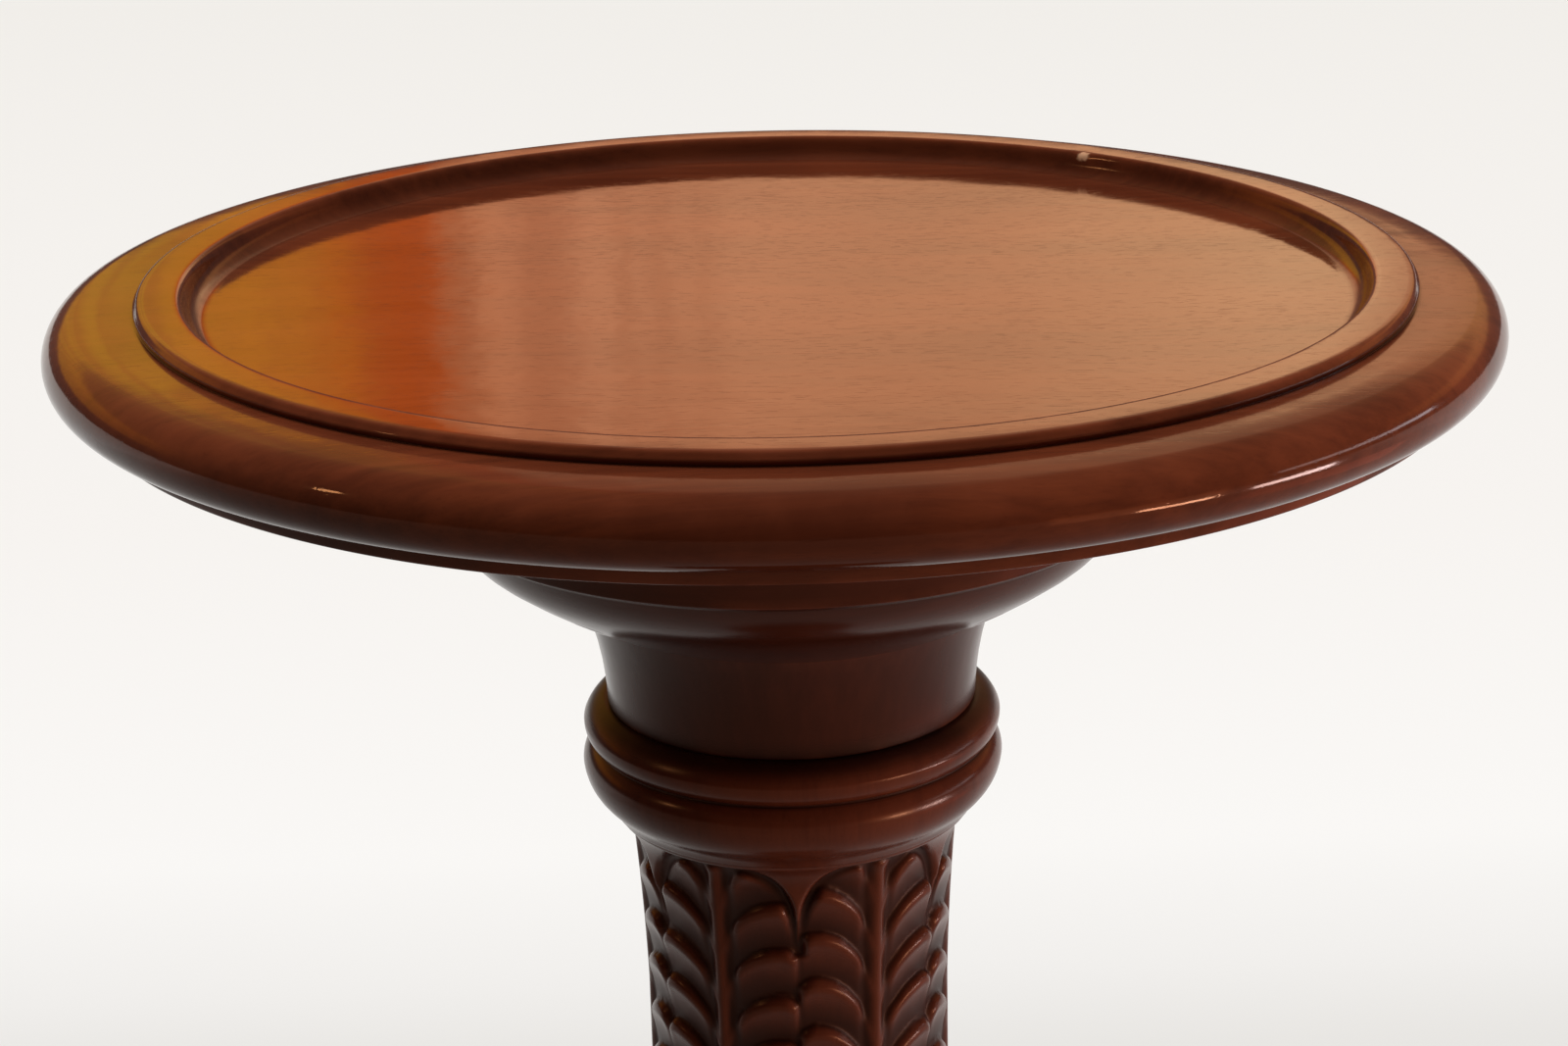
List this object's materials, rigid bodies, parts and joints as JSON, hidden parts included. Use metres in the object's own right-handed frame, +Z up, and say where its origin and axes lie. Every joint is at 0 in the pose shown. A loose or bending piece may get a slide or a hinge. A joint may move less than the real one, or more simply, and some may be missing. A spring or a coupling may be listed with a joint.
{
  "type": "torchere stand",
  "caption": "Tall mahogany torchere stand with a dished round top, turned rings, a leaf-carved column and a round plinth on bun feet.",
  "frame": {"origin": "on the floor, on the turning axis of the top, column and plinth", "axes": "+Z up along the column, -Y towards the viewer (the front foot), +X to the viewer's right"},
  "size_m": [0.344, 0.344, 1.05],
  "materials": {
    "top": "polished mahogany",
    "under_collar": "polished mahogany",
    "collar_screws": "plain bright steel",
    "collar_plugs": "polished mahogany",
    "neck": "polished mahogany",
    "upper_ring": "polished mahogany",
    "column": "polished mahogany",
    "lower_ring": "polished mahogany",
    "lower_neck": "polished mahogany",
    "socle": "polished mahogany",
    "step_disc": "polished mahogany",
    "plinth_front_board": "polished mahogany",
    "plinth_middle_board": "polished mahogany",
    "plinth_back_board": "polished mahogany",
    "plinth_tongues": "unpolished mahogany",
    "plinth_screws": "plain bright steel",
    "coach_screw": "plain bright steel",
    "coach_washer": "plain bright steel",
    "front_foot": "polished mahogany",
    "left_foot": "polished mahogany",
    "right_foot": "polished mahogany",
    "foot_glides": "plain bright steel"
  },
  "bodies": {
    "root": {"top": "top", "under_collar": "under_collar", "collar_screws": "collar_screws", "collar_plugs": "collar_plugs", "neck": "neck", "upper_ring": "upper_ring", "column": "column", "lower_ring": "lower_ring", "lower_neck": "lower_neck", "socle": "socle", "step_disc": "step_disc", "plinth_front_board": "plinth_front_board", "plinth_middle_board": "plinth_middle_board", "plinth_back_board": "plinth_back_board", "plinth_tongues": "plinth_tongues", "plinth_screws": "plinth_screws", "coach_screw": "coach_screw", "coach_washer": "coach_washer", "front_foot": "front_foot", "left_foot": "left_foot", "right_foot": "right_foot", "foot_glides": "foot_glides"}
  },
  "joints": []
}
